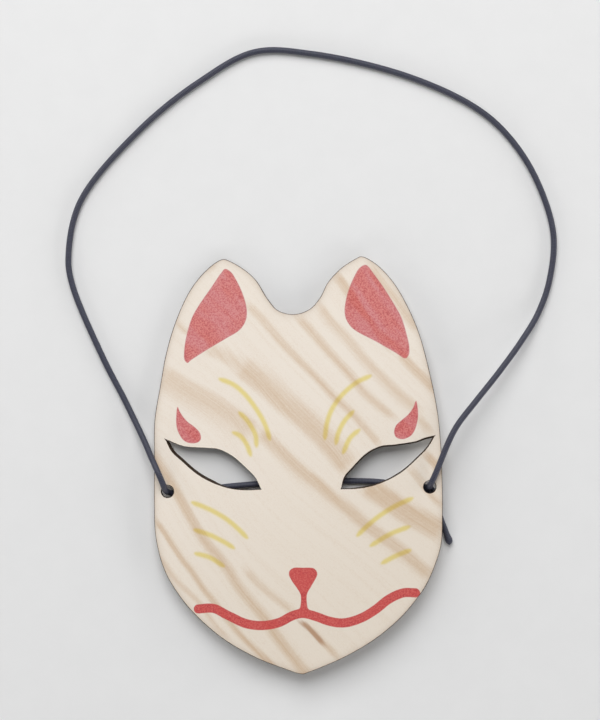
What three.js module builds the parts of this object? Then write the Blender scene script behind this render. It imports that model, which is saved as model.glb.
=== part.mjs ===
// Folk mask of a fox: a thin flat wooden board with a head cord, lying face up on a surface.
// Millimetres, +Z up. The origin is at the middle of the board, at the level of the surface.
// +X is to the right and +Y up to the ears as the front is seen, and so are left and right in the names.
import * as THREE from 'three';

// Driving dimensions.
const boardThickness = 3;
const cordHoleDiameter = 6.2;
const cordDiameter = 3;
const pieceGap = 0.3;

// The board leans: its left ear touches the surface, and its chin and right side ride on the cord and knot.
const chinRise = THREE.MathUtils.degToRad(2);
const rightSideRise = THREE.MathUtils.degToRad(1.5);

const knotLength = 9.4;
const knotWidth = 9.2;
const knotHeight = 6.5;

// Fineness of the faceted forms.
const outlineStepsPerSpan = 4;
const holeSides = 24;
const cordSides = 8;
const knotSides = 20;
const knotRings = 12;

// Height of the cord's middle line where it lies on the surface.
const cordLow = 1.55;

// The board's outline from the front, counterclockwise from the chin, through the right ear and the left ear.
const boardOutline = [
  [0.7, -104.2], [3.1, -103.4], [8.3, -101.6], [22, -95.9], [37.2, -87.3], [49.9, -77.1],
  [57.8, -68.3], [62.7, -61.6], [67.6, -51.5], [71, -40.8], [72, -26.4], [72.3, -9],
  [71.9, 11], [70.7, 26], [66.7, 48], [62.7, 64.1], [58.1, 76.1], [51.6, 88.6],
  [45, 97], [39.7, 101.5], [34.4, 104], [31.3, 102.8], [23.8, 98.1], [17, 91],
  [13.2, 84], [8, 78.3], [0.2, 75.8], [-7.8, 77.8], [-12.8, 83.5], [-18.5, 93.1],
  [-23.5, 98.1], [-31.1, 103], [-34.8, 104.3], [-39, 102.6], [-46.8, 95.8], [-53.2, 87.2],
  [-60, 72.7], [-64.8, 57.6], [-68.1, 41.5], [-71.3, 24], [-71.9, 4], [-72.4, -18.5],
  [-72.1, -33.4], [-69.6, -46], [-66.1, -55.1], [-59.2, -66.1], [-51.6, -75], [-38.8, -86.2],
  [-23, -95.6], [-8.4, -101.6], [-1.9, -103.9],
];

// Each eye opening is an upper and a lower curve that meet in two sharp corners.
const leftEye = {
  upper: [
    [-65.4, 13.9], [-57, 10.6], [-46, 9.5], [-39, 8.6], [-32, 4.8], [-25.5, -1.2], [-21.3, -5.7], [-18.4, -11.7],
  ],
  lower: [
    [-18.4, -11.7], [-26.5, -11.8], [-34, -10.8], [-42, -8], [-50, -3.4], [-58, 3.7], [-62.6, 8.2], [-65.4, 13.9],
  ],
};
const rightEye = {
  upper: [
    [68.3, 12.6], [64.2, 11.8], [60, 10.4], [49, 8.9], [42, 8.3], [35, 5], [27.5, -2.1], [23.6, -6.5], [21.8, -12.4],
  ],
  lower: [
    [21.8, -12.4], [29.5, -12], [37, -10.9], [45, -8.1], [53, -3.5], [61, 3.5], [65.2, 7.7], [68.3, 12.6],
  ],
};

const leftCordHole = [-65.2, -11.8];
const rightCordHole = [65.9, -12.4];

// The cord's middle line: from the knot, behind the board, up through the left hole, round the loop on the
// surface, over the right edge and down through the right hole, onto the knot.
const cordRoute = [
  [59.3, -14.9, 1.85], [54.8, -12.9, cordLow], [41.5, -9.8, cordLow], [-5, -9, cordLow], [-36.5, -10.5, cordLow],
  [-58.7, -13.9, cordLow], [-62.7, -13.2, 1.8], [-65.1, -12.3, 3.7], [-66.2, -11.3, 6.1], [-66.9, -8.7, 9],
  [-68.7, -3.8, 10.3], [-72.2, 4, 7.8], [-76.5, 14.2, 5.4], [-81.3, 24.5, 3.1], [-86.2, 34.9, 1.8],
  [-96.8, 56.7, cordLow], [-111.1, 93.3, cordLow], [-112.6, 107.4, cordLow], [-106, 134.6, cordLow],
  [-75.3, 170, cordLow], [-44.9, 193.4, cordLow], [-16.8, 207.8, cordLow], [11.9, 206.3, cordLow],
  [58, 194.6, cordLow], [91.7, 178.7, cordLow], [107.8, 165.1, cordLow], [122.1, 143.6, cordLow],
  [131.4, 113.8, cordLow], [129, 89.9, 1.7], [122.8, 73.3, 2.5], [113.3, 58.8, 5.9], [100.8, 42.9, 9.1],
  [90.3, 30.6, 11.3], [80.3, 18.4, 12.6], [76.1, 11.1, 13], [68.8, -5.6, 12.6], [66.9, -9.6, 11.7],
  [66.1, -11.6, 9.8], [65.8, -12.7, 7.9], [65.6, -13.35, 6.7],
];
// Places on the route, counted in its points, where one length of cord ends and the next begins.
const routeCuts = { start: 0, leftHole: 5, loop: 12, rightHole: 33, end: 39 };

const knotCentre = [64.8, -16, 3.3];
const knotHeading = THREE.MathUtils.degToRad(-60);
const longTail = [[68.4, -20.2, 2.6], [70.6, -26, 1.75], [73.4, -34, cordLow], [76.1, -41.8, cordLow]];
const shortTail = [[65.4, -21.7, 2.3], [66.2, -26.2, 1.75], [66.9, -31, cordLow]];

const paleWood = new THREE.MeshStandardMaterial({ color: '#e6dacc', roughness: 0.75, metalness: 0 });
const darkCord = new THREE.MeshStandardMaterial({ color: '#3c3a4b', roughness: 0.6, metalness: 0 });

function curveThrough(points, closed = false) {
  const vectors = points.map(([x, y, z = 0]) => new THREE.Vector3(x, y, z));
  return new THREE.CatmullRomCurve3(vectors, closed, 'centripetal');
}

// Points on the curve at even steps of its own parameter, so that its sharp places keep their points.
function flatPoints(points, closed) {
  const spans = closed ? points.length : points.length - 1;
  const along = curveThrough(points, closed).getPoints(spans * outlineStepsPerSpan);
  along.pop();
  return along.map((point) => new THREE.Vector2(point.x, point.y));
}

function circlePoints([centreX, centreY], diameter, sides) {
  return Array.from({ length: sides }, (_, side) => {
    const angle = (side / sides) * 2 * Math.PI;
    const radius = diameter / 2;
    return new THREE.Vector2(centreX + radius * Math.cos(angle), centreY + radius * Math.sin(angle));
  });
}

function makeBoard() {
  const shape = new THREE.Shape(flatPoints(boardOutline, true));
  for (const eye of [leftEye, rightEye]) {
    shape.holes.push(new THREE.Path([...flatPoints(eye.upper, false), ...flatPoints(eye.lower, false)]));
  }
  for (const hole of [leftCordHole, rightCordHole]) {
    shape.holes.push(new THREE.Path(circlePoints(hole, cordHoleDiameter, holeSides)));
  }
  const geometry = new THREE.ExtrudeGeometry(shape, { depth: boardThickness, bevelEnabled: false });
  const board = new THREE.Mesh(geometry, paleWood);
  board.name = 'mask_board';
  board.rotation.set(-chinRise, -rightSideRise, 0);
  const reach = new THREE.Box3().setFromObject(board, true);
  const middle = reach.getCenter(new THREE.Vector3());
  board.position.set(-middle.x, -middle.y, -reach.min.z);
  return board;
}

// The stretch of a longer curve between two distances along it.
class Stretch extends THREE.Curve {
  constructor(whole, from, to) {
    super();
    this.whole = whole;
    this.from = from / whole.getLength();
    this.to = to / whole.getLength();
  }

  getPoint(t, target = new THREE.Vector3()) {
    return this.whole.getPointAt(THREE.MathUtils.lerp(this.from, this.to, t), target);
  }
}

// A round cord along a curve, with both ends cut off square.
function makeCord(name, path, steps) {
  const section = new THREE.Shape(circlePoints([0, 0], cordDiameter, cordSides));
  const geometry = new THREE.ExtrudeGeometry(section, { extrudePath: path, steps, bevelEnabled: false });
  const cord = new THREE.Mesh(geometry, darkCord);
  cord.name = name;
  return cord;
}

// One length of the head cord between two of the route's points, half a gap short at each end.
function makeRouteCord(name, fromPoint, toPoint, steps) {
  const route = curveThrough(cordRoute);
  const divisionsPerSpan = 50;
  route.arcLengthDivisions = (cordRoute.length - 1) * divisionsPerSpan;
  const lengths = route.getLengths();
  const from = lengths[fromPoint * divisionsPerSpan] + pieceGap / 2;
  const to = lengths[toPoint * divisionsPerSpan] - pieceGap / 2;
  return makeCord(name, new Stretch(route, from, to), steps);
}

// The knot is a flattened barrel with a waist between its two turns of cord.
function makeKnot() {
  const waistDepth = 0.12;
  const profile = Array.from({ length: knotRings + 1 }, (_, ring) => {
    const along = -Math.cos((ring / knotRings) * Math.PI);
    const around = Math.sqrt(Math.max(0, 1 - along ** 4)) * (1 - waistDepth * (1 - along ** 2) ** 4);
    return new THREE.Vector2(around, along);
  });
  const widest = Math.max(...profile.map((point) => point.x));
  const geometry = new THREE.LatheGeometry(profile, knotSides);
  geometry.scale(knotWidth / 2 / widest, knotLength / 2, knotHeight / 2 / widest);
  geometry.rotateZ(knotHeading - Math.PI / 2);
  const knot = new THREE.Mesh(geometry, darkCord);
  knot.name = 'cord_knot';
  knot.position.set(...knotCentre);
  return knot;
}

const foxMask = new THREE.Group();
foxMask.add(
  makeBoard(),
  makeRouteCord('cord_back_run', routeCuts.start, routeCuts.leftHole, 8),
  makeRouteCord('cord_through_left', routeCuts.leftHole, routeCuts.loop, 10),
  makeRouteCord('cord_loop', routeCuts.loop, routeCuts.rightHole, 46),
  makeRouteCord('cord_through_right', routeCuts.rightHole, routeCuts.end, 12),
  makeKnot(),
  makeCord('cord_tail_long', curveThrough(longTail), 3),
  makeCord('cord_tail_short', curveThrough(shortTail), 2),
);

export default foxMask;
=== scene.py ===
import math
import bpy
import numpy as np
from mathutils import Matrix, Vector
from mathutils.geometry import delaunay_2d_cdt


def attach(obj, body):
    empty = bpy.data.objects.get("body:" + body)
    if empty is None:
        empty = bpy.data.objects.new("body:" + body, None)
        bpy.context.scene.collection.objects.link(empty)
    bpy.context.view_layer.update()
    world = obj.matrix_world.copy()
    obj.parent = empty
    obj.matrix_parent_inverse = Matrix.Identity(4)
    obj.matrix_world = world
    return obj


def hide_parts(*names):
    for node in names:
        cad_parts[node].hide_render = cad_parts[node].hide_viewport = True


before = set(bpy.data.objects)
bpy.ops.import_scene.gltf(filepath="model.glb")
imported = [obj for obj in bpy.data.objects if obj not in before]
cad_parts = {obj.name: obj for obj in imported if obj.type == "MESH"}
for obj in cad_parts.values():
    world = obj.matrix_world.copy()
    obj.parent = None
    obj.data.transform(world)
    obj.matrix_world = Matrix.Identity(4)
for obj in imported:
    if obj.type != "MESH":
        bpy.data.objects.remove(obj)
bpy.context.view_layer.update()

# A flat wooden fox mask with a dark head cord, lying face up on a pale surface. Metres, +Z up.
millimetre = 0.001

cameraSettings = {
    "place": (0.00264, 0.05245, 1.0075),
    "turn": -1.3,  # degrees about the upright axis
    "lens": 66.67,
    "sensorHeight": 24.0,
}


def makeCamera(settings):
    # Looks straight down, so only its turn is set.
    data = bpy.data.cameras.new("camera")
    data.sensor_fit = "VERTICAL"
    data.sensor_height = settings["sensorHeight"]
    data.lens = settings["lens"]
    camera = bpy.data.objects.new("camera", data)
    camera.location = settings["place"]
    camera.rotation_euler = (0.0, 0.0, math.radians(settings["turn"]))
    bpy.context.scene.collection.objects.link(camera)
    bpy.context.scene.camera = camera


makeCamera(cameraSettings)
bpy.context.scene.view_settings.view_transform = "Standard"
print("camera set")


def curveThrough(points, stepsPerSpan, closed=False):
    # Centripetal Catmull-Rom: each span is a cubic through its two points, and its end slopes come from
    # the neighbouring points, weighted by the square roots of the distances between them.
    points = np.asarray(points, float)
    if closed:
        row = np.vstack([points[-1:], points, points[:2]])
    else:
        row = np.vstack([2 * points[:1] - points[1:2], points, 2 * points[-1:] - points[-2:-1]])
    before, start, end, after = row[:-3], row[1:-2], row[2:-1], row[3:]
    gaps = np.sqrt(np.linalg.norm(np.diff(row, axis=0), axis=1))[:, None]
    gapBefore, gap, gapAfter = gaps[:-2], gaps[1:-1], gaps[2:]
    startSlope = ((start - before) / gapBefore - (end - before) / (gapBefore + gap)) * gap + end - start
    endSlope = end - start + ((after - end) / gapAfter - (after - start) / (gap + gapAfter)) * gap
    t = (np.arange(stepsPerSpan) / stepsPerSpan)[None, :, None]
    spans = (
        (2 * t**3 - 3 * t**2 + 1) * start[:, None]
        + (t**3 - 2 * t**2 + t) * startSlope[:, None]
        + (3 * t**2 - 2 * t**3) * end[:, None]
        + (t**3 - t**2) * endSlope[:, None]
    )
    along = spans.reshape(-1, points.shape[1])
    return along if closed else np.vstack([along, points[-1:]])


def distancesAlong(line):
    # How far each point lies from the first one, as the running sum of the steps.
    return np.concatenate([[0.0], np.cumsum(np.linalg.norm(np.diff(line, axis=0), axis=1))])


def unitRows(rows):
    # Each row divided by its own length.
    return rows / np.linalg.norm(rows, axis=1)[:, None]


def evenSteps(line, step):
    # Points at equal distances along the line, from its first to its last point.
    travelled = distancesAlong(line)
    places = np.linspace(0.0, travelled[-1], max(2, round(travelled[-1] / step)) + 1)
    return np.stack([np.interp(places, travelled, column) for column in line.T], axis=1)


def ringFaces(count, size):
    # The ring and the step of each face between two rings, and its corners: two neighbours on the ring, and
    # the two beyond them.
    ring, step = np.meshgrid(np.arange(count - 1), np.arange(size), indexing="ij")
    following = (step + 1) % size
    here, ahead = ring * size, (ring + 1) * size
    quads = np.stack([here + step, here + following, ahead + following, ahead + step], axis=-1)
    return ring, step, quads.reshape(-1, 4)


def makeMesh(name, points, faces, material, smooth):
    # smooth is one answer for all faces, or one for each.
    mesh = bpy.data.meshes.new(name)
    mesh.from_pydata(points.tolist(), [], faces)
    mesh.polygons.foreach_set("use_smooth", np.broadcast_to(smooth, len(mesh.polygons)).astype(bool))
    mesh.materials.append(material)
    piece = bpy.data.objects.new(name, mesh)
    bpy.context.scene.collection.objects.link(piece)
    return piece


def addMap(piece, name, loopPlaces):
    # A UV map with one place for each corner of each face.
    layer = piece.data.uv_layers.new(name=name)
    layer.data.foreach_set("uv", np.ascontiguousarray(loopPlaces, np.float32).ravel())


def addValue(piece, name, values):
    # One number for each point, which a material reads by name.
    attribute = piece.data.attributes.new(name, "FLOAT", "POINT")
    attribute.data.foreach_set("value", np.ascontiguousarray(values, np.float32))


def addNode(tree, kind, inputs=None, **settings):
    # Makes the node, sets its own settings first, and then links or fills its inputs.
    node = tree.nodes.new(kind)
    for key, value in settings.items():
        setattr(node, key, value)
    for key, value in (inputs or {}).items():
        if isinstance(value, bpy.types.NodeSocket):
            tree.links.new(value, node.inputs[key])
        else:
            node.inputs[key].default_value = value
    return node


def calculate(tree, operation, first, second=0.0):
    # The named operation on one or two numbers.
    return addNode(tree, "ShaderNodeMath", {0: first, 1: second}, operation=operation).outputs[0]


def spread(tree, value, low, high, toLow=0.0, toHigh=1.0):
    # Takes low..high to toLow..toHigh along a soft S, and holds it beyond them.
    inputs = {"Value": value, "From Min": low, "From Max": high, "To Min": toLow, "To Max": toHigh}
    return addNode(tree, "ShaderNodeMapRange", inputs, interpolation_type="SMOOTHSTEP").outputs["Result"]


def mixColours(tree, factor, first, second, blend="MIX"):
    # The first colour at factor 0, and the second one, or its blend with the first, at factor 1.
    inputs = {0: factor, 6: first, 7: second}
    return addNode(tree, "ShaderNodeMix", inputs, data_type="RGBA", blend_type=blend).outputs[2]


def noiseValue(tree, vector, stretch, detail=3.0, roughness=0.55):
    # Soft noise between about 0.25 and 0.75, on the vector stretched along each axis.
    scaled = addNode(tree, "ShaderNodeVectorMath", {0: vector, 1: stretch}, operation="MULTIPLY").outputs[0]
    inputs = {"Vector": scaled, "Scale": 1.0, "Detail": detail, "Roughness": roughness}
    return addNode(tree, "ShaderNodeTexNoise", inputs).outputs["Fac"]


def addBump(tree, shader, height, strength, distance):
    # Distance is in metres, between the lowest and the highest.
    bump = addNode(tree, "ShaderNodeBump", {"Strength": strength, "Distance": distance, "Height": height})
    tree.links.new(bump.outputs["Normal"], shader.inputs["Normal"])


def startMaterial(name, roughness):
    # A plain material, its node tree and its shader.
    material = bpy.data.materials.new(name)
    material.use_nodes = True
    shader = material.node_tree.nodes["Principled BSDF"]
    shader.inputs["Roughness"].default_value = roughness
    return material, material.node_tree, shader


cordFinish = {
    # The first colour is the braid's hollows, darkened as painted shade; the thread colour is its crossings,
    # lightened as painted light.
    "colour": (0.027, 0.0285, 0.046, 1.0),
    "litThreadColour": (0.070, 0.073, 0.107, 1.0),
    "roughness": 0.40,
    "specular": 0.35,
    "strandsAround": 8.0,
    "weavePitch": 1.5,  # mm along the cord for one strand crossing
    "bumpStrength": 0.6,
    "bumpDistance": 0.00012,
}


def makeCordMaterial(finish):
    # A round braid: two sets of threads wind round the cord in opposite ways. The height is the product of
    # two cosines of the place around the cord plus or minus the place along it.
    material, tree, shader = startMaterial("darkElastic", finish["roughness"])
    shader.inputs["Specular IOR Level"].default_value = finish["specular"]
    place = addNode(tree, "ShaderNodeUVMap", uv_map="cordMap").outputs["UV"]
    axes = addNode(tree, "ShaderNodeSeparateXYZ", {0: place}).outputs
    around = calculate(tree, "MULTIPLY", axes[0], 2 * math.pi * finish["strandsAround"])
    along = calculate(tree, "MULTIPLY", axes[1], 2 * math.pi / finish["weavePitch"])
    rising = calculate(tree, "COSINE", calculate(tree, "ADD", around, along))
    falling = calculate(tree, "COSINE", calculate(tree, "SUBTRACT", around, along))
    crossing = calculate(tree, "MULTIPLY", rising, falling)
    weave = spread(tree, crossing, -0.7, 0.7)
    blotches = noiseValue(tree, place, (3.0, 0.5, 1.0))
    shade = calculate(tree, "MULTIPLY", weave, spread(tree, blotches, 0.3, 0.7, 0.7, 1.0))
    # Painted light and shade: the crossings get the lighter colour and the hollows the darker one. The
    # blotches are the cord's own uneven tone.
    colour = mixColours(tree, shade, finish["colour"], finish["litThreadColour"])
    tree.links.new(colour, shader.inputs["Base Color"])
    addBump(tree, shader, weave, finish["bumpStrength"], finish["bumpDistance"])
    return material


darkElastic = makeCordMaterial(cordFinish)
capMapRadius = 0.1  # of the flat ends on the cord's map


def sweepTube(name, line, radius, sides, endCut=0.0):
    # Circles carried along the line. Each ring's side is level and square to the heading, its top is square
    # to both, and a point is centre + radius * (cos(angle) * side + sin(angle) * top). The ends are flat, and
    # endCut slants the last one, by that share of its radius.
    radius = np.broadcast_to(radius, len(line))
    heading = unitRows(np.gradient(line, axis=0))
    side = unitRows(np.cross((0.0, 0.0, 1.0), heading))
    top = np.cross(heading, side)
    angle = np.arange(sides) / sides * 2 * np.pi
    reach = np.cos(angle)[None, :, None] * side[:, None] + np.sin(angle)[None, :, None] * top[:, None]
    rings = line[:, None] + radius[:, None, None] * reach
    rings[-1] += heading[-1] * (np.cos(angle) * radius[-1] * endCut)[:, None]
    ring, step, quads = ringFaces(len(line), sides)
    lastRing = (len(line) - 1) * sides + np.arange(sides)
    faces = quads.tolist() + [np.arange(sides)[::-1].tolist(), lastRing.tolist()]
    smooth = np.r_[np.ones(len(quads), bool), False, False]
    tube = makeMesh(name, rings.reshape(-1, 3), faces, darkElastic, smooth)
    travelled = distancesAlong(line) / millimetre
    around = np.stack([step, step + 1, step + 1, step], axis=-1) / sides
    along = travelled[np.stack([ring, ring, ring + 1, ring + 1], axis=-1)]
    wall = np.stack([around, along], axis=-1).reshape(-1, 2)
    firstCap = np.stack([np.cos(angle[::-1]), np.sin(angle[::-1])], axis=1) * capMapRadius
    lastCap = np.stack([np.cos(angle), np.sin(angle)], axis=1) * capMapRadius + [0.0, travelled[-1]]
    addMap(tube, "cordMap", np.vstack([wall, firstCap, lastCap]))
    return tube


lying = 0.00155  # height of the cord's middle where it lies on the surface
headCordShape = {
    "diameter": 0.003,
    "ringStep": 0.0006,
    "sides": 20,
    "route": [
        (0.0593, -0.0149, 0.00185), (0.0548, -0.0129, lying), (0.0415, -0.0098, lying),
        (-0.005, -0.009, lying), (-0.0365, -0.0105, lying), (-0.0587, -0.0139, lying),
        (-0.0627, -0.0132, 0.0018), (-0.0651, -0.0123, 0.0037), (-0.0662, -0.0113, 0.0061),
        (-0.0669, -0.0087, 0.009), (-0.0687, -0.0038, 0.0103), (-0.0722, 0.004, 0.0078),
        (-0.0765, 0.0142, 0.0054), (-0.0813, 0.0245, 0.0031), (-0.0862, 0.0349, 0.0018),
        (-0.0968, 0.0567, lying), (-0.1111, 0.0933, lying), (-0.1126, 0.1074, lying),
        (-0.106, 0.1346, lying), (-0.0753, 0.17, lying), (-0.0449, 0.1934, lying), (-0.0168, 0.2078, lying),
        (0.0119, 0.2063, lying), (0.058, 0.1946, lying), (0.0917, 0.1787, lying), (0.1078, 0.1651, lying),
        (0.1221, 0.1436, lying), (0.1314, 0.1138, lying), (0.129, 0.0899, 0.0017), (0.1228, 0.0733, 0.0025),
        (0.1133, 0.0588, 0.0059), (0.1008, 0.0429, 0.0091), (0.0903, 0.0306, 0.0113),
        (0.0803, 0.0184, 0.0126), (0.0761, 0.0111, 0.013), (0.0688, -0.0056, 0.0126),
        (0.0669, -0.0096, 0.0117), (0.0661, -0.0116, 0.0098), (0.0658, -0.0127, 0.0079),
        (0.0656, -0.01335, 0.0067),
    ],
}
cordLine = evenSteps(curveThrough(headCordShape["route"], stepsPerSpan=40), headCordShape["ringStep"])
headCord = sweepTube("headCord", cordLine, headCordShape["diameter"] / 2, headCordShape["sides"])
print("head cord", round(distancesAlong(cordLine)[-1], 4), "m")

knotShape = {
    "centre": (0.0648, -0.016, 0.0033),
    "heading": (0.5, -0.866, 0.0),
    "side": (0.866, 0.5, 0.0),
    "alongScale": 1.3,  # mm for one unit of the knot's curve
    "acrossScale": 1.2,
    "crossingPlaces": [-2.2, -1.932, -1.732, -1.2, -0.518, 0.0, 0.518, 1.2, 1.732, 1.932, 2.2],
    "crossingHeights": [0.9, 1.0, -1.0, -0.7, 1.0, 0.0, -1.0, 0.7, 1.0, -1.0, -0.9],
    "halfHeight": 1.95,  # mm
    "turnPoints": 33,
    "tightRadius": 0.00125,
    "tightWithin": 0.0042,  # of the knot's centre
    "fullBeyond": 0.0072,
    "ringStep": 0.4,  # mm
    "startRings": 6,
    "sides": 18,
    # For each strand: mm beside the knot's middle curve, where on that curve it starts, its points before and
    # after the turns, its frayed width at mm from the cut, and the slant of the cut.
    "longStrand": {
        "offset": 1.12,
        "start": -1.86,
        "before": [(0.0656, -0.01335, 0.0067)],
        "after": [
            (0.0684, -0.0202, 0.0026), (0.0706, -0.026, 0.00175), (0.0734, -0.034, 0.0017),
            (0.0761, -0.0418, 0.002),
        ],
        "endWidths": [(0.0, 0.52), (0.5, 0.85), (1.2, 1.12), (2.2, 1.28), (3.4, 1.16), (5.0, 1.0)],
        "endCut": -0.25,
    },
    "shortStrand": {
        "offset": -1.12,
        "start": -1.98,
        "before": [(0.0593, -0.0149, 0.00185), (0.0612, -0.0132, 0.0028)],
        "after": [(0.0654, -0.0217, 0.0023), (0.0662, -0.0262, 0.00175), (0.0669, -0.031, 0.0017)],
        "endWidths": [(0.0, 1.12), (1.5, 1.08), (3.0, 1.0)],
        "endCut": -0.2,
    },
}


def knotTurns(shape, offset, start):
    # An open trefoil: t^3 - 3t along the knot, t^4 - 4t^2 + 2 across it, and a height that swings over and
    # under at its three crossings. A strand runs at the offset beside it, moved square to the heading.
    t = np.linspace(start, 2.0, shape["turnPoints"])
    along = shape["alongScale"] * (t**3 - 3 * t)
    across = shape["acrossScale"] * (t**4 - 4 * t**2 + 2)
    height = np.interp(t, shape["crossingPlaces"], shape["crossingHeights"]) * shape["halfHeight"]
    local = np.stack([along, across, height], axis=1)
    heading = np.gradient(local, axis=0)
    local[:, :2] += unitRows(np.stack([-heading[:, 1], heading[:, 0]], axis=1)) * offset
    axes = np.array([shape["heading"], shape["side"], (0.0, 0.0, 1.0)])
    return np.array(shape["centre"]) + local * millimetre @ axes


def makeKnotStrand(name, shape, strand):
    # A tube through the strand's own points, the knot's turns and its tail: squeezed in the knot, full beyond
    # it, and frayed at the cut.
    turns = knotTurns(shape, strand["offset"], strand["start"])
    line = curveThrough(np.vstack([strand["before"], turns, strand["after"]]), stepsPerSpan=10)
    line = evenSteps(line, shape["ringStep"] * millimetre)
    fullRadius = headCordShape["diameter"] / 2
    nearKnot = np.linalg.norm(line - np.array(shape["centre"]), axis=1)
    places, radii = [shape["tightWithin"], shape["fullBeyond"]], [shape["tightRadius"], fullRadius]
    radius = np.interp(nearKnot, places, radii)
    rings = shape["startRings"]
    radius[:rings] = np.linspace(fullRadius, radius[rings], rings)
    fromEnd = (len(line) - 1 - np.arange(len(line))) * shape["ringStep"]
    radius = radius * np.interp(fromEnd, *np.array(strand["endWidths"]).T)
    return sweepTube(name, line, radius, shape["sides"], strand["endCut"])


knotLongStrand = makeKnotStrand("knotLongStrand", knotShape, knotShape["longStrand"])
knotShortStrand = makeKnotStrand("knotShortStrand", knotShape, knotShape["shortStrand"])
print("knot made")

# All of the board is in millimetres in its own plane, and is put in its place at the end.
boardShape = {
    "thickness": 3.0,
    "chinRise": 2.0,  # degrees
    "rightSideRise": 1.5,
    "holeDiameter": 6.2,
    "leftHole": (-65.2, -11.8),
    "rightHole": (65.9, -12.4),
    "holeSides": 48,
    "outlineSteps": 14,  # per span of the traced curve
    "eyeSteps": 12,
    "coarseStep": 0.9,  # lattice of the front, away from paint edges
    "fineStep": 0.45,
    "fineWithin": 0.8,  # of a paint edge
    "backStep": 4.0,
    "clearOfCuts": 0.6,  # share of the lattice step
    "outline": [
        (0.7, -104.2), (3.1, -103.4), (8.3, -101.6), (22, -95.9), (37.2, -87.3), (49.9, -77.1),
        (57.8, -68.3), (62.7, -61.6), (67.6, -51.5), (71, -40.8), (72, -26.4), (72.3, -9), (71.9, 11),
        (70.7, 26), (66.7, 48), (62.7, 64.1), (58.1, 76.1), (51.6, 88.6), (45, 97), (39.7, 101.5),
        (34.4, 104), (31.3, 102.8), (23.8, 98.1), (17, 91), (13.2, 84), (8, 78.3), (0.2, 75.8), (-7.8, 77.8),
        (-12.8, 83.5), (-18.5, 93.1), (-23.5, 98.1), (-31.1, 103), (-34.8, 104.3), (-39, 102.6),
        (-46.8, 95.8), (-53.2, 87.2), (-60, 72.7), (-64.8, 57.6), (-68.1, 41.5), (-71.3, 24), (-71.9, 4),
        (-72.4, -18.5), (-72.1, -33.4), (-69.6, -46), (-66.1, -55.1), (-59.2, -66.1), (-51.6, -75),
        (-38.8, -86.2), (-23, -95.6), (-8.4, -101.6), (-1.9, -103.9),
    ],
    "leftEyeUpper": [
        (-65.4, 13.9), (-57, 10.6), (-46, 9.5), (-39, 8.6), (-32, 4.8), (-25.5, -1.2), (-21.3, -5.7),
        (-18.4, -11.7),
    ],
    "leftEyeLower": [
        (-18.4, -11.7), (-26.5, -11.8), (-34, -10.8), (-42, -8), (-50, -3.4), (-58, 3.7), (-62.6, 8.2),
        (-65.4, 13.9),
    ],
    "rightEyeUpper": [
        (68.3, 12.6), (64.2, 11.8), (60, 10.4), (49, 8.9), (42, 8.3), (35, 5), (27.5, -2.1), (23.6, -6.5),
        (21.8, -12.4),
    ],
    "rightEyeLower": [
        (21.8, -12.4), (29.5, -12), (37, -10.9), (45, -8.1), (53, -3.5), (61, 3.5), (65.2, 7.7),
        (68.3, 12.6),
    ],
    # From the front, over the edge, to the back: mm into the wood from the cut line, the same as a share of
    # the scorched line's local width, mm down from the front, and how scorched the wood is.
    "edgeProfile": [
        (0.02, 1.70, 0.0, 0.0), (0.02, 1.0, 0.0, 0.5), (0.02, 0.55, 0.0, 1.0), (0.03, 0.1, 0.01, 1.0),
        (0.0, 0.0, 0.07, 1.0), (0.0, 0.0, 1.5, 0.85), (0.0, 0.0, 2.93, 1.0), (0.05, 0.0, 3.0, 1.0),
        (0.25, 0.0, 3.0, 0.6), (0.60, 0.0, 3.0, 0.0),
    ],
    "scorchWidth": 0.24,
    "cutLean": 0.06,  # mm by which the foot of a cut stands out
    "sanded": 0.2,  # mm that the outline loses all round
    "sandedMore": 0.2,  # and this much more towards its upper left, and less opposite it
    "sandedTowards": (0.8, -0.6),
    # What the eyes' cut lines add to the lean and the scorched width: shares of each curve's points, and mm.
    "extraLean": {
        "leftEyeUpper": ([0.0], [0.0]),
        "leftEyeLower": ([0.3, 0.45, 0.98, 1.0], [0.0, 0.95, 0.95, 0.0]),
        "rightEyeUpper": ([0.0, 0.02, 0.9, 1.0], [0.0, 0.5, 0.5, 0.0]),
        "rightEyeLower": ([0.0], [0.0]),
    },
    "extraWidth": {
        "leftEyeUpper": ([0.0, 0.08, 0.2], [0.21, 0.06, -0.1]),
        "leftEyeLower": ([0.0], [0.0]),
        "rightEyeUpper": ([0.0, 0.15, 0.3], [0.25, 0.15, 0.0]),
        "rightEyeLower": ([0.0, 0.15, 1.0], [0.0, 0.3, 0.24]),
    },
}

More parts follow.
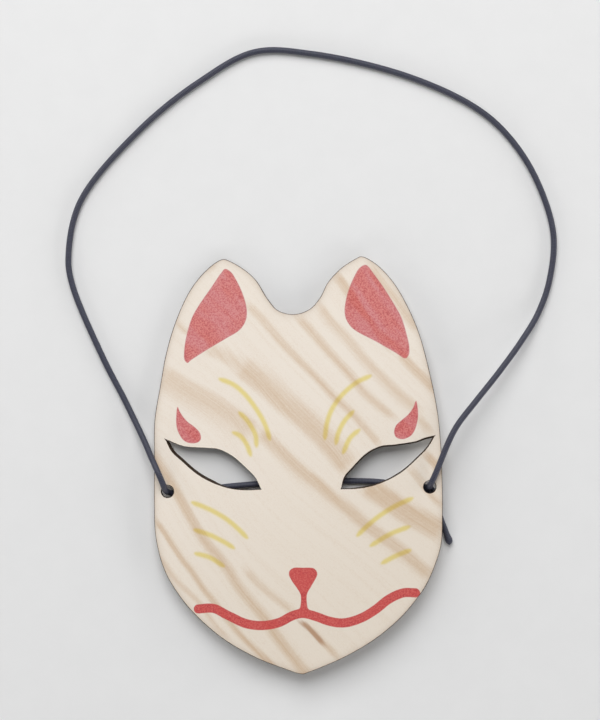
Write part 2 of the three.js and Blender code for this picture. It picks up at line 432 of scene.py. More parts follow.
paintShapes = {
    "ears": [[
        (-34, 99.1), (-31, 97.4), (-28.3, 93), (-25.7, 87.2), (-23.7, 79.9), (-23.6, 75.1), (-24.9, 71.3),
        (-27.6, 68), (-33.9, 64.3), (-43.7, 58.8), (-52, 53.7), (-53.9, 52.3), (-55.3, 53.8), (-55.4, 58.5),
        (-53.8, 67.1), (-51, 75.3), (-47, 81.9), (-41.1, 90), (-36.1, 97),
    ], [
        (36.3, 99.4), (33.4, 97.8), (30.4, 93), (27.9, 87.4), (26.1, 81.1), (25.5, 76.4), (26.1, 72.5),
        (28.4, 68.6), (31.2, 66.2), (41.2, 60.6), (50.6, 54.9), (55.3, 52), (57, 53.6), (57.4, 57.9),
        (56.1, 64.6), (53.9, 72.4), (50.2, 79.6), (45.6, 87.4), (41, 94.2), (37.5, 98.9),
    ]],
    "drops": [[
        (-59.3, 30.7), (-60.1, 25.1), (-60, 20.5), (-58.8, 16.8), (-56.8, 13.8), (-54.3, 12.3), (-51, 12),
        (-48.4, 13.2), (-47.9, 15.3), (-48.8, 17.8), (-51.3, 20.4), (-54.5, 22.9), (-57, 25.9),
        (-58.6, 28.8),
    ], [
        (60.1, 30.8), (61, 23.7), (60.3, 19.4), (58.9, 15.6), (56.7, 13), (52.9, 11.7), (49.7, 12.8),
        (48.8, 15.3), (49.8, 18.5), (52.6, 21.1), (55.9, 23.8), (58.7, 27.5),
    ]],
    "nose": [
        (-3, -51.3), (1.8, -51.3), (6.4, -51.5), (8.1, -52.5), (8.8, -54.6), (7.7, -57.2), (5.3, -61.1),
        (3.5, -64.3), (3.2, -67.3), (3.2, -72.5), (0.2, -72.5), (0.4, -67.2), (0.2, -64.5), (-1.5, -61.4),
        (-4.1, -57.5), (-5.3, -54.6), (-5, -52.7),
    ],
    "mouth": [
        (-51, -70.7), (-43.4, -70.6), (-36.3, -74.2), (-27.2, -78.5), (-19.1, -79.6), (-10.9, -78.3),
        (-3.7, -74.9), (1.4, -74), (7.5, -75.6), (14.5, -78.2), (21.6, -79.1), (29.8, -77), (37, -73.1),
        (44.3, -67.7), (51.5, -64.8), (57.5, -64.9),
    ],
    "brows": [
        [(-37.9, 43.9), (-31.5, 41.2), (-25.4, 35.9), (-19.3, 27.5), (-15.5, 20.2), (-13.4, 13)],
        [(-28.4, 26.9), (-24.2, 22.3), (-20.6, 15.5), (-20.1, 9.7)],
        [(-31.8, 17), (-28.4, 15.3), (-25.2, 11.1), (-23.1, 5.2)],
        [(37.8, 43.8), (30.5, 40.4), (23.2, 34.4), (18, 27.4), (15.3, 20.3), (14.1, 12.7)],
        [(28.7, 26.2), (24, 21.2), (20.8, 15.1), (19.6, 10.1)],
        [(31.5, 16.9), (26.8, 12.9), (23.1, 5.4)],
    ],
    "whiskers": [
        [(-53, -17.5), (-45.4, -20.7), (-36.3, -26), (-30.3, -31.2), (-25.8, -35.9)],
        [(-52.2, -31.2), (-44.6, -33.9), (-37.5, -37.6), (-32.5, -40.8)],
        [(-52, -43), (-44.9, -45.1), (-37.8, -49.8)],
        [(57.1, -17.8), (48.4, -21.6), (40.2, -26.5), (33.9, -31.5), (29.2, -35.9)],
        [(55.3, -31.9), (46, -35.3), (35.7, -41.1)],
        [(55.5, -43.6), (47.8, -46.5), (41.1, -49.9)],
    ],
    "mouthHalfWidth": 2.28,
    "lineHalfWidth": 1.15,
    "lineTaper": 2.0,
    "taperShare": 0.45,  # of the width that is left at a tapered end
    "softJoin": 1.5,  # between nose and mouth
    "coats": {"snout": 1.0, "drops": 0.4, "ears": 0.2},  # how thick the red is
    "reach": 3.0,  # distances are held here
}

# Darker growth rings, from upper left to lower right: strength, mm over which the lower left side rises,
# width of the flat top, mm over which the upper right side fades, points.
woodStreaks = {
    "browUpper": (0.74, 4.7, 3.5, 8.5, [
        (-29.5, 48.5), (-25.5, 45.5), (-16.5, 38), (-8, 29.5), (2, 21), (10.5, 12.5), (18, 3.5),
        (24.5, -4.5),
    ]),
    "browStart": (0.46, 3.4, 1.5, 6.5, [(-46, 58.5), (-36.5, 54.5), (-25.5, 46.5), (-20, 42)]),
    "browLower": (0.85, 5.5, 4.5, 5.5, [
        (32, -11.7), (35, -14), (43.5, -20), (53, -27), (61.5, -31.5), (71, -37),
    ]),
    "forehead": (0.72, 3.2, 0.0, 4.2, [
        (-24, 81.5), (-16, 73), (-7, 62), (2.5, 51.5), (12.5, 41), (19.5, 33), (27, 26), (35, 16.5),
        (42, 8.5),
    ]),
    "crown": (0.74, 3.5, 0.0, 3.8, [
        (1.5, 74.5), (8, 67), (14, 59.5), (20, 52.5), (27.5, 44), (33.5, 36), (42, 28), (49, 22),
    ]),
    "rightCrown": (0.62, 5.2, 0.0, 4.2, [
        (12.5, 80.5), (18, 72), (25.5, 64), (32.5, 55.5), (38.5, 48.5), (45, 41.5), (52, 34), (58.5, 28.5),
        (61.5, 26),
    ]),
    "earLeftSide": (0.74, 4.3, 1.6, 2.2, [
        (21, 95.5), (25, 90), (29.5, 82.5), (35.5, 72.5), (43, 63.5), (50, 56.5),
    ]),
    "earRightSide": (0.70, 4.0, 0.3, 3.4, [(38.5, 99), (43.5, 91.5), (51, 82), (55.5, 75), (62, 66)]),
    "templeRight": (0.76, 3.5, 1.5, 3.0, [(51.5, 55.5), (57.5, 48), (64.5, 40.5), (70, 34)]),
    "templeRightUpper": (0.40, 2.5, 0.0, 2.8, [(55.5, 53), (61.5, 47), (68.5, 40)]),
    "temple": (0.62, 12.5, 2.0, 4.2, [(-66.5, 48), (-55.5, 40.5), (-43, 33.5), (-30.5, 25), (-20.5, 17)]),
    "nose": (0.78, 5.6, 1.0, 4.2, [
        (-19, 17), (-13.6, 12.2), (-6.3, 4.6), (2, -3.6), (10.3, -10.3), (17.8, -17.3), (25.4, -23.6),
        (32.7, -30.3), (40.2, -35.8), (47.9, -41.5), (54.7, -47.3), (60.3, -52.7), (65.6, -57.3),
    ]),
    "cheek": (0.88, 4.6, -0.3, 4.8, [
        (-72.6, 8.1), (-67.6, -0.4), (-63.1, -7.8), (-58.6, -16.3), (-54.6, -23.9), (-50.5, -31.4),
        (-46.3, -37.9), (-41.1, -43.8), (-36, -50.7), (-30.8, -59.5), (-25, -67.3), (-18.5, -75),
        (-12.6, -84.2), (-6.8, -92.5), (-0.7, -100.4), (3.8, -105.9),
    ]),
    "jaw": (0.88, 2.8, 0.0, 2.8, [
        (-72, -25.5), (-68, -31), (-63, -39), (-58.5, -46), (-53.5, -52.5), (-48.5, -60.5), (-43, -67.5),
        (-36, -77), (-30, -84.5), (-24, -90.5), (-17.5, -96.5), (-12, -102),
    ]),
    "jawOuter": (0.54, 2.2, 0.6, 2.0, [
        (-70.5, -44), (-65.5, -51.5), (-61, -57.5), (-56, -62.5), (-51, -67.5), (-46, -75), (-41.5, -81),
        (-36, -86),
    ]),
    "lip": (0.58, 3.0, 0.4, 3.4, [
        (-27.7, -51.4), (-21.5, -58.7), (-15.2, -64.5), (-8.8, -69.6), (-3.3, -74.1),
    ]),
    "rightEyeSide": (0.85, 2.0, 1.3, 3.5, [(62.5, 4), (67, -0.5), (69.5, -5)]),
    "rightEyeUnder": (0.6, 1.8, 0.8, 3.5, [(55, -3), (59.5, -8.5), (63.5, -14), (68, -19.5), (72, -23)]),
    "rightDropSide": (0.65, 4.0, 0.0, 3.2, [(60, 24), (64, 19), (68, 14)]),
    "leftEarLine": (0.66, 2.6, -0.2, 3.0, [(-59.5, 74), (-55, 68.5), (-49.5, 67), (-44, 64), (-39.5, 60.5)]),
    "chinRight": (0.66, 2.3, 0.5, 3.0, [(3, -81), (6, -84), (9.5, -88), (13.5, -92), (18.5, -97.5)]),
    "leftEarTip": (0.6, 2.5, 0.0, 2.5, [(-42, 98.5), (-39, 101)]),
}
resinStreak = (1.0, 2.0, 0.3, 2.7, [(-1.5, -77.5), (2, -80), (6, -84), (9.5, -88), (12, -90.7)])
resinReach = 2.0  # mm beside it where the front's lattice is fine
streakEnds = {"length": 4.0, "share": 0.35}  # mm of fading at both ends, and the share that is left there
grainSettings = {"heading": -49.0, "stiffness": 400.0}  # degrees; the stiffer, the less the grain bends


def insideRing(points, ring):
    # Counts how many of the ring's sides a level line to the right of each point crosses.
    start, end = ring, np.roll(ring, -1, axis=0)
    straddles = (start[None, :, 1] > points[:, None, 1]) != (end[None, :, 1] > points[:, None, 1])
    rise = np.where(end[:, 1] == start[:, 1], 1e-9, end[:, 1] - start[:, 1])
    crossing = start[:, 0] + (points[:, None, 1] - start[:, 1]) / rise * (end[:, 0] - start[:, 0])
    return ((straddles & (points[:, None, 0] < crossing)).sum(axis=1) % 2).astype(bool)


def nearestOnLine(points, line):
    # For each point: the distance to the line, on which side it is (+ is left of the heading), and the share
    # of the line's length where the nearest place lies.
    start, step = line[:-1], np.diff(line, axis=0)
    stepLength = np.linalg.norm(step, axis=1)
    toPoint = points[:, None] - start[None]
    share = np.clip((toPoint * step).sum(axis=2) / stepLength**2, 0, 1)
    away = toPoint - share[..., None] * step
    distance = np.linalg.norm(away, axis=2)
    nearest = distance.argmin(axis=1)
    rows = np.arange(len(points))
    chosen = toPoint[rows, nearest]
    cross = step[nearest, 0] * chosen[:, 1] - step[nearest, 1] * chosen[:, 0]
    travelled = distancesAlong(line)
    place = (travelled[nearest] + share[rows, nearest] * stepLength[nearest]) / travelled[-1]
    return distance[rows, nearest], np.sign(cross), place


def nearLine(points, line, reach):
    # The rows of the points that lie in the line's box, widened by reach.
    low, high = line.min(axis=0) - reach, line.max(axis=0) + reach
    return np.flatnonzero(((points > low) & (points < high)).all(axis=1))


def distanceTo(points, line):
    # The distance alone.
    return nearestOnLine(points, line)[0]


def inSlices(work, points, line):
    # Does the work on one part of the points at a time, so that its arrays stay small.
    slices = 24
    return np.concatenate([work(part, line) for part in np.array_split(points, slices)])


def filledShape(points, corners):
    # Signed distance to a closed curve, below 0 inside it, and held at the reach.
    reach = paintShapes["reach"]
    ring = curveThrough(corners, closed=True, stepsPerSpan=8)
    result = np.full(len(points), reach)
    rows = nearLine(points, ring, reach)
    distance = distanceTo(points[rows], np.vstack([ring, ring[:1]]))
    result[rows] = np.minimum(np.where(insideRing(points[rows], ring), -distance, distance), reach)
    return result


def brushLine(points, corners, halfWidth, taper):
    # Distance to the curve less its half width. Over the last taper millimetres the width narrows with the
    # square root of the distance to the end, or the end is a full round where taper is 0.
    reach, endShare = paintShapes["reach"], paintShapes["taperShare"]
    line = curveThrough(corners, stepsPerSpan=8)
    length = distancesAlong(line)[-1]
    result = np.full(len(points), reach)
    rows = nearLine(points, line, reach)
    distance, _, place = nearestOnLine(points[rows], line)
    width = halfWidth
    if taper:
        fromEnd = np.minimum(place, 1 - place) * length
        width = halfWidth * (endShare + (1 - endShare) * np.sqrt(np.clip(fromEnd / taper, 0, 1)))
    result[rows] = np.minimum(distance - width, reach)
    return result


def smoothUnion(first, second, soften):
    # The nearer of two distances, with the corner between them filled by a small curve.
    blend = np.clip(soften - np.abs(first - second), 0, None) / soften
    return np.minimum(first, second) - blend**2 * soften / 4


def paintValues(points):
    # Signed distances in mm to the edges of the red and the yellow paint, and how thick the red is.
    ears = np.min([filledShape(points, shape) for shape in paintShapes["ears"]], axis=0)
    drops = np.min([filledShape(points, shape) for shape in paintShapes["drops"]], axis=0)
    nose = filledShape(points, paintShapes["nose"])
    mouth = brushLine(points, paintShapes["mouth"], paintShapes["mouthHalfWidth"], 0.0)
    snout = smoothUnion(nose, mouth, paintShapes["softJoin"])
    halfWidth, taper = paintShapes["lineHalfWidth"], paintShapes["lineTaper"]
    lines = paintShapes["brows"] + paintShapes["whiskers"]
    yellow = np.min([brushLine(points, line, halfWidth, taper) for line in lines], axis=0)
    red = np.minimum(np.minimum(ears, drops), snout)
    coats = paintShapes["coats"]
    coat = np.where(red == snout, coats["snout"], np.where(red == drops, coats["drops"], coats["ears"]))
    return red, yellow, coat


def streakValue(points, streak):
    # Rises across the line's lower left side, stays at its strength over the flat top, fades on its upper
    # right side, and fades to a third at both ends. Both slopes are soft S curves, 3x^2 - 2x^3.
    strength, rise, flat, fade, corners = streak
    endLength, endShare = streakEnds["length"], streakEnds["share"]
    line = curveThrough(corners, stepsPerSpan=4)
    result = np.zeros(len(points))
    rows = nearLine(points, line, max(rise, flat + fade) + 1)
    distance, side, place = nearestOnLine(points[rows], line)
    offset = distance * side
    up = np.clip((offset + rise) / rise, 0, 1)
    down = np.clip((flat + fade - offset) / fade, 0, 1)
    ends = np.clip(np.minimum(place, 1 - place) * distancesAlong(line)[-1] / endLength, 0, 1)
    height = strength * up**2 * (3 - 2 * up) * down**2 * (3 - 2 * down)
    result[rows] = height * (endShare + (1 - endShare) * ends)
    return result


def grainPlaces(points):
    # Places along and across the grain in mm. The second is the plain one across a slanted heading, plus a
    # thin-plate surface (r^2 log r round each traced point, and a plane) that levels each traced streak.
    heading = np.radians(grainSettings["heading"])
    along = np.array([np.cos(heading), np.sin(heading)])
    across = np.array([-np.sin(heading), np.cos(heading)])
    lines = [np.array(streak[4], float) for streak in woodStreaks.values()]
    centres = np.vstack(lines)
    plain = [line @ across for line in lines]
    wanted = np.concatenate([value.mean() - value for value in plain])

    def plate(a, b):
        gap = np.linalg.norm(a[:, None] - b[None], axis=2)
        return gap**2 * np.log(gap + 1e-9)

    def withOnes(a):
        return np.hstack([np.ones((len(a), 1)), a])

    count = len(centres)
    flat = withOnes(centres)
    system = np.zeros((count + 3, count + 3))
    system[:count, :count] = plate(centres, centres) + grainSettings["stiffness"] * np.eye(count)
    system[:count, count:] = flat
    system[count:, :count] = flat.T
    weights = np.linalg.solve(system, np.r_[wanted, 0.0, 0.0, 0.0])
    bend = plate(points, centres) @ weights[:count] + withOnes(points) @ weights[count:]
    return np.stack([points @ along, points @ across + bend], axis=1)


def towardsWood(ring):
    # The direction to the left of travel at each point, square to the mean of its two sides, and long enough
    # to keep both sides at an even distance in a corner.
    forward = unitRows(np.roll(ring, -1, axis=0) - ring)
    mean = unitRows(forward + np.roll(forward, 1, axis=0))
    sharpest = 0.35  # the cosine that keeps a sharp corner from reaching too far
    stretch = 1 / np.clip((mean * forward).sum(axis=1), sharpest, 1)
    return np.stack([-mean[:, 1], mean[:, 0]], axis=1) * stretch[:, None]


def sandedOutline(shape, ring):
    # The outline after sanding: each point moves into the wood, by more on the upper left and less opposite.
    wood = towardsWood(ring)
    loss = shape["sanded"] + shape["sandedMore"] * (wood @ shape["sandedTowards"])
    return ring + wood * loss[:, None]


def cutRings(shape):
    # The board's cut lines, each with the wood on its left. With each go how far the foot of the wall leans
    # out and how wide the scorched line is on the front.
    plainLean, plainWidth = shape["cutLean"], shape["scorchWidth"]
    outline = curveThrough(shape["outline"], closed=True, stepsPerSpan=shape["outlineSteps"])
    outline = sandedOutline(shape, outline)
    rings = [(outline, plainLean, plainWidth)]
    for side in ("left", "right"):
        halves = []
        for name in (side + "EyeUpper", side + "EyeLower"):
            line = curveThrough(shape[name], stepsPerSpan=shape["eyeSteps"])[:-1]
            share = np.linspace(0, 1, len(line))
            lean = plainLean + np.interp(share, *shape["extraLean"][name])
            width = plainWidth + np.interp(share, *shape["extraWidth"][name])
            halves.append(np.c_[line, lean, width])
        eye = np.vstack(halves)
        if side == "right":  # its curves are traced the other way round
            eye = eye[::-1]
        rings.append((eye[:, :2], eye[:, 2], eye[:, 3]))
    sides = shape["holeSides"]
    angle = -np.arange(sides) / sides * 2 * np.pi
    circle = np.stack([np.cos(angle), np.sin(angle)], axis=1) * shape["holeDiameter"] / 2
    for name in ("leftHole", "rightHole"):
        rings.append((circle + shape[name], plainLean, plainWidth))
    return rings


def insideWood(points, borders):
    # Which points lie inside the outline and outside every hole.
    keep = inSlices(insideRing, points, borders[0])
    for hole in borders[1:]:
        rows = nearLine(points, hole, 0.0)
        keep[rows] &= ~insideRing(points[rows], hole)
    return keep


def fillBetween(borders, inner):
    # Delaunay triangles over the borders and the inner points, less those that aren't on the wood.
    places = np.vstack(borders + [inner])
    starts = np.cumsum([0] + [len(border) for border in borders])
    borderRows = [np.arange(a, b) for a, b in zip(starts[:-1], starts[1:])]
    edges = np.vstack([np.stack([rows, np.roll(rows, -1)], axis=1) for rows in borderRows])
    mergeWithin = 1e-6  # mm
    made = delaunay_2d_cdt(places.tolist(), edges.tolist(), [], 0, mergeWithin)
    triangles = np.array(made[2])
    corners = np.array(made[0])
    return corners, triangles[insideWood(corners[triangles].mean(axis=1), borders)]


def nearResin(points):
    # Which points lie beside the resin streak.
    line = curveThrough(resinStreak[4], stepsPerSpan=4)
    near = np.zeros(len(points), bool)
    rows = nearLine(points, line, resinReach)
    near[rows] = distanceTo(points[rows], line) < resinReach
    return near


def innerPoints(shape, borders, step, fineStep):
    # A square lattice inside the wood, kept clear of the borders. Where a fine step is given, the lattice is
    # fine near paint edges and the resin streak, and coarse elsewhere.
    spacing = fineStep or step
    low, high = borders[0].min(axis=0), borders[0].max(axis=0)
    across, up = np.meshgrid(np.arange(low[0], high[0], spacing), np.arange(low[1], high[1], spacing))
    column, row = np.meshgrid(np.arange(across.shape[1]), np.arange(across.shape[0]))
    points = np.stack([across.ravel(), up.ravel()], axis=1)
    if fineStep:
        every = round(step / fineStep)
        coarse = ((column % every == 0) & (row % every == 0)).ravel()
        red, yellow, _ = paintValues(points)
        near = np.minimum(np.abs(red), np.abs(yellow)) < shape["fineWithin"]
        points = points[coarse | near | nearResin(points)]
    keep = insideWood(points, borders)
    for border in borders:
        closed = np.vstack([border, border[:1]])
        rows = nearLine(points, closed, spacing)
        keep[rows] &= inSlices(distanceTo, points[rows], closed) > shape["clearOfCuts"] * spacing
    return points[keep]


def placeBoard(shape, points):
    # Turns the board about its own axes so that its chin and right side rise, then moves it so that the
    # middle of its plain outline is over the origin and its lowest corner touches the surface.
    chin, right = -np.radians(shape["chinRise"]), -np.radians(shape["rightSideRise"])
    turnX = np.array([[1, 0, 0], [0, np.cos(chin), -np.sin(chin)], [0, np.sin(chin), np.cos(chin)]])
    turnY = np.array([[np.cos(right), 0, np.sin(right)], [0, 1, 0], [-np.sin(right), 0, np.cos(right)]])
    turn = turnX @ turnY
    plain = curveThrough(shape["outline"], closed=True, stepsPerSpan=4)
    corners = np.vstack([np.c_[plain, np.full(len(plain), z)] for z in (0.0, shape["thickness"])]) @ turn.T
    low, high = corners.min(axis=0), corners.max(axis=0)
    shift = -np.array([(low[0] + high[0]) / 2, (low[1] + high[1]) / 2, low[2]])
    return (points @ turn.T + shift) * millimetre


def cutWall(shape, ring, lean, width):
    # The edge profile carried round a cut line. Each point lies inset + share * width into the wood, less the
    # lean in proportion to its depth. The faces look away from the wood.
    inset, widthShare, depth, _ = np.array(shape["edgeProfile"]).T
    into = inset[:, None] + widthShare[:, None] * width - lean * (depth / shape["thickness"])[:, None]
    flat = ring[None] + towardsWood(ring)[None] * into[..., None]
    height = np.broadcast_to((shape["thickness"] - depth)[:, None, None], flat.shape[:2] + (1,))
    _, _, quads = ringFaces(len(depth), len(ring))
    return np.concatenate([flat, height], axis=2).reshape(-1, 3), quads[:, [0, 3, 2, 1]]


def addLooks(board, shape, points, outline, wallScorch):
    # What the material reads, worked out in the board's own plane. The back gets the rings but no paint.
    flat = points[:, :2]
    onBack = points[:, 2] < shape["thickness"] / 2
    red, yellow, coat = paintValues(flat)
    addValue(board, "redPaint", np.where(onBack, paintShapes["reach"], red))
    addValue(board, "yellowPaint", np.where(onBack, paintShapes["reach"], yellow))
    addValue(board, "redCoat", coat)
    addValue(board, "scorch", np.r_[wallScorch, np.zeros(len(points) - len(wallScorch))])
    streaks = np.max([streakValue(flat, streak) for streak in woodStreaks.values()], axis=0)
    addValue(board, "streak", streaks)
    addValue(board, "resin", streakValue(flat, resinStreak))
    addValue(board, "fromEdge", inSlices(distanceTo, flat, np.vstack([outline, outline[:1]])))
    grain = grainPlaces(flat)
    corner = np.empty(len(board.data.loops), np.int32)
    board.data.loops.foreach_get("vertex_index", corner)
    addMap(board, "grainMap", grain[corner])


def makeBoard(shape, material):
    # A wall along every cut line, and triangles over the front and the back that share the walls' points.
    rings = cutRings(shape)
    profileScorch = np.array(shape["edgeProfile"])[:, 3]
    levels = len(profileScorch)
    walls, wallFaces, wallScorch, ringStarts = [], [], [], []
    count = 0
    for ring, lean, width in rings:
        wall, quads = cutWall(shape, ring, lean, width)
        walls.append(wall)
        wallFaces.append(quads + count)
        wallScorch.append(np.repeat(profileScorch, len(ring)))
        ringStarts.append(count)
        count += len(wall)
    wallPoints, wallFaces = np.vstack(walls), np.vstack(wallFaces)
    sizes = [len(ring) for ring, _, _ in rings]
    pieces, triangles = [wallPoints], []
    front = (0, shape["thickness"], shape["coarseStep"], shape["fineStep"])
    back = (levels - 1, 0.0, shape["backStep"], None)
    for level, height, coarse, fine in (front, back):
        borderRows = [np.arange(size) + start + level * size for start, size in zip(ringStarts, sizes)]
        borders = [wallPoints[border, :2] for border in borderRows]
        inner = innerPoints(shape, borders, coarse, fine)
        corners, made = fillBetween(borders, inner)
        if len(corners) != sum(sizes) + len(inner):
            raise ValueError("the board's points were merged")
        made = np.concatenate(borderRows + [count + np.arange(len(inner))])[made]
        triangles.append(made if level == 0 else made[:, ::-1])
        pieces.append(np.c_[inner, np.full(len(inner), height)])
        count += len(inner)
    points = np.vstack(pieces)
    faces = wallFaces.tolist() + np.vstack(triangles).tolist()
    smooth = np.arange(len(faces)) < len(wallFaces)
    board = makeMesh("maskBoard", placeBoard(shape, points), faces, material, smooth)
    addLooks(board, shape, points, rings[0][0], np.concatenate(wallScorch))
    return board


woodFinish = {
    "clear": (0.822, 0.745, 0.655, 1.0),
    "tan": (0.650, 0.495, 0.352, 1.0),
    "resin": (0.420, 0.245, 0.143, 1.0),
    "edgeTint": (0.330, 0.215, 0.135, 1.0),
    "paintedChinShade": (0.925, 0.912, 0.885, 1.0),
    "scorched": (0.040, 0.024, 0.015, 1.0),
    "earRed": (0.600, 0.062, 0.060, 1.0),
    "snoutRed": (0.575, 0.056, 0.050, 1.0),
    "deepRed": (0.400, 0.018, 0.030, 1.0),
    "dustyRed": (0.580, 0.178, 0.220, 1.0),
    "yellowGlaze": (0.930, 0.860, 0.390, 1.0),
    "roughness": 0.62,
    "speckleScale": 1350.0,  # per metre
    "ringTone": 0.55,  # how much each of the grain's scales darkens the wood
    "lineTone": 0.26,
    "poreTone": 0.62,
    "speckleTone": 0.70,
    "bumpStrength": 0.25,
    "bumpDistance": 0.0001,
}


def makePaintedPine(finish):
    # Pale softwood with darker rings, thin speckled red paint, a clear yellow glaze, scorched cut edges, and
    # painted shade that darkens it towards the chin.
    material, tree, shader = startMaterial("paintedPine", finish["roughness"])
    grain = addNode(tree, "ShaderNodeUVMap", uv_map="grainMap").outputs["UV"]
    place = addNode(tree, "ShaderNodeTexCoord").outputs["Object"]

    def value(name):
        node = addNode(tree, "ShaderNodeAttribute", attribute_name=name, attribute_type="GEOMETRY")
        return node.outputs["Fac"]

    def times(first, second):
        return calculate(tree, "MULTIPLY", first, second)

    def around(number, middle, gain):
        return times(calculate(tree, "SUBTRACT", number, middle), gain)

    def total(*numbers):
        result = numbers[0]
        for number in numbers[1:]:
            result = calculate(tree, "ADD", result, number)
        return result

    rings = noiseValue(tree, grain, (0.010, 0.30, 1.0), 4.0)
    lines = noiseValue(tree, grain, (0.025, 1.5, 1.0), 3.0)
    pores = noiseValue(tree, grain, (0.25, 9.0, 1.0), 2.0)
    speckle = noiseValue(tree, place, (finish["speckleScale"],) * 3, 2.0, 0.75)
    streak = times(value("streak"), spread(tree, lines, 0.3, 0.7, 0.82, 1.15))
    fine = total(
        around(lines, 0.5, finish["lineTone"]),
        around(pores, 0.5, finish["poreTone"]),
        around(speckle, 0.5, finish["speckleTone"]),
    )
    tone = total(streak, around(rings, 0.46, finish["ringTone"]), fine)
    tone = calculate(tree, "MAXIMUM", calculate(tree, "MINIMUM", tone, 1.15), 0.0)
    wood = mixColours(tree, tone, finish["clear"], finish["tan"])
    axes = addNode(tree, "ShaderNodeSeparateXYZ", {0: place}).outputs
    towardsChin = calculate(tree, "SUBTRACT", times(axes[0], 0.4), axes[1])
    # Painted shade: the wood is multiplied darker and warmer towards the chin, the way the light falls off
    # there.
    wood = mixColours(tree, spread(tree, towardsChin, -0.05, 0.10), wood, finish["paintedChinShade"], "MULTIPLY")
    nearEdge = calculate(tree, "EXPONENT", times(value("fromEdge"), -0.9))
    wood = mixColours(tree, times(nearEdge, 0.45), wood, finish["edgeTint"])
    resin = spread(tree, total(value("resin"), around(lines, 0.5, 0.5)), 0.15, 1.0, 0.0, 0.9)
    wood = mixColours(tree, resin, wood, finish["resin"])

    ragged = around(speckle, 0.5, 0.5)
    bands = spread(tree, noiseValue(tree, grain, (0.03, 0.16, 1.0), 2.0), 0.38, 0.62)
    redPaint, coat = value("redPaint"), value("redCoat")
    rim = spread(tree, redPaint, -1.1, -0.2)
    dusty = times(spread(tree, coat, 0.1, 1.0, 0.75, 0.0), total(times(bands, -0.6), 0.7, times(rim, 0.4)))
    red = mixColours(tree, coat, finish["earRed"], finish["snoutRed"])
    red = mixColours(tree, dusty, red, finish["dustyRed"])
    dots = times(spread(tree, speckle, 0.48, 0.66), spread(tree, bands, 0.0, 1.0, 0.5, 0.9))
    red = mixColours(tree, total(dots, times(rim, 0.16)), red, finish["deepRed"])
    cover = total(times(coat, 0.17), spread(tree, speckle, 0.34, 0.6, 0.72, 0.86))
    redMask = times(spread(tree, total(redPaint, ragged), 0.2, -0.2), calculate(tree, "MINIMUM", cover, 0.97))
    painted = mixColours(tree, redMask, wood, red)
    yellowMask = spread(tree, total(value("yellowPaint"), around(speckle, 0.5, 0.9)), 0.85, -0.75)
    glazed = mixColours(tree, 1.0, wood, finish["yellowGlaze"], "MULTIPLY")
    painted = mixColours(tree, yellowMask, painted, glazed)

    scorch = spread(tree, total(value("scorch"), around(speckle, 0.5, 0.9)), 0.25, 0.85)
    tree.links.new(mixColours(tree, scorch, painted, finish["scorched"]), shader.inputs["Base Color"])
    tree.links.new(spread(tree, scorch, 0.0, 1.0, 0.5, 0.08), shader.inputs["Specular IOR Level"])
    height = total(times(pores, 0.6), times(lines, 0.4))
    addBump(tree, shader, height, finish["bumpStrength"], finish["bumpDistance"])
    return material


maskBoard = makeBoard(boardShape, makePaintedPine(woodFinish))
print("mask board", len(maskBoard.data.polygons), "faces")

floorFinish = {
    "size": 4.0,
    "colour": (0.78, 0.78, 0.78, 1.0),
    "mottleShade": 0.985,  # the darkest of its faint mottle, as a share of the colour
    "mottleScale": 60.0,  # per metre
    "roughness": 0.8,
}


def makeFloor(finish):
    # One square, level with the surface that the mask lies on.
    half = finish["size"] / 2
    corners = np.array([(-half, -half, 0), (half, -half, 0), (half, half, 0), (-half, half, 0)])
    material, tree, shader = startMaterial("paleSheet", finish["roughness"])
    place = addNode(tree, "ShaderNodeTexCoord").outputs["Object"]
    mottle = noiseValue(tree, place, (finish["mottleScale"],) * 3, 5.0, 0.6)
    darkest = tuple(finish["mottleShade"] * part for part in finish["colour"][:3]) + (1.0,)
    colour = mixColours(tree, spread(tree, mottle, 0.3, 0.7), darkest, finish["colour"])
    tree.links.new(colour, shader.inputs["Base Color"])
    return makeMesh("floor", corners, [[0, 1, 2, 3]], material, False)


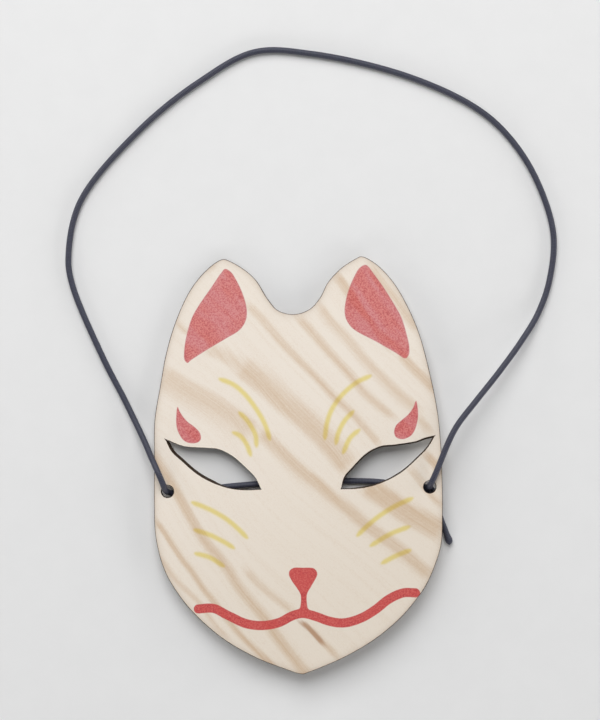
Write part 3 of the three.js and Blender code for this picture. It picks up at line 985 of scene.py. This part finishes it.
floor = makeFloor(floorFinish)
print("floor made")

lowLight = {"size": (1.0, 0.8), "distance": 2.0}
lightSettings = {
    # power in watts, size and distance in metres, direction clockwise from +Y and height in degrees
    "key": {"power": 55.0, "size": (2.0, 1.9), "direction": -9.0, "height": 48.0, "distance": 2.3},
    "overhead": {"power": 1.6, "size": (1.3, 1.3), "direction": 175.0, "height": 73.0, "distance": 2.0},
    "lowRight": lowLight | {"power": 9.4, "direction": 72.0, "height": 16.0},
    "lowLeft": lowLight | {"power": 7.6, "direction": -65.0, "height": 16.0},
    "lowFrontRight": lowLight | {"power": 13.0, "direction": 130.0, "height": 13.0},
    "lowFrontLeft": lowLight | {"power": 12.0, "direction": -150.0, "height": 13.0},
}
skyStrength = 0.07


def makeAreaLight(name, settings):
    # Stands at its direction, height and distance from the mask's middle, and faces it.
    data = bpy.data.lights.new(name, "AREA")
    data.shape = "RECTANGLE"
    data.size, data.size_y = settings["size"]
    data.energy = settings["power"]
    light = bpy.data.objects.new(name, data)
    direction, height = math.radians(settings["direction"]), math.radians(settings["height"])
    level = math.cos(height)
    towards = Vector((math.sin(direction) * level, math.cos(direction) * level, math.sin(height)))
    light.location = towards * settings["distance"]
    light.rotation_euler = towards.to_track_quat("Z", "Y").to_euler()
    bpy.context.scene.collection.objects.link(light)


def makeLights(lights, strength):
    # A wide soft light beyond the ears, a weaker one overhead, low ones all round, and a faint even sky.
    for name, settings in lights.items():
        makeAreaLight(name, settings)
    world = bpy.data.worlds.new("sky")
    world.use_nodes = True
    sky = world.node_tree.nodes["Background"].inputs
    sky["Color"].default_value = (1.0, 1.0, 1.0, 1.0)
    sky["Strength"].default_value = strength
    bpy.context.scene.world = world


makeLights(lightSettings, skyStrength)
print("lights set")

for piece in (maskBoard, headCord, knotLongStrand, knotShortStrand):
    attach(piece, "root")
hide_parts("mask_board")
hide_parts("cord_back_run", "cord_through_left", "cord_loop", "cord_through_right")
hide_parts("cord_knot", "cord_tail_long")
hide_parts("cord_tail_short")
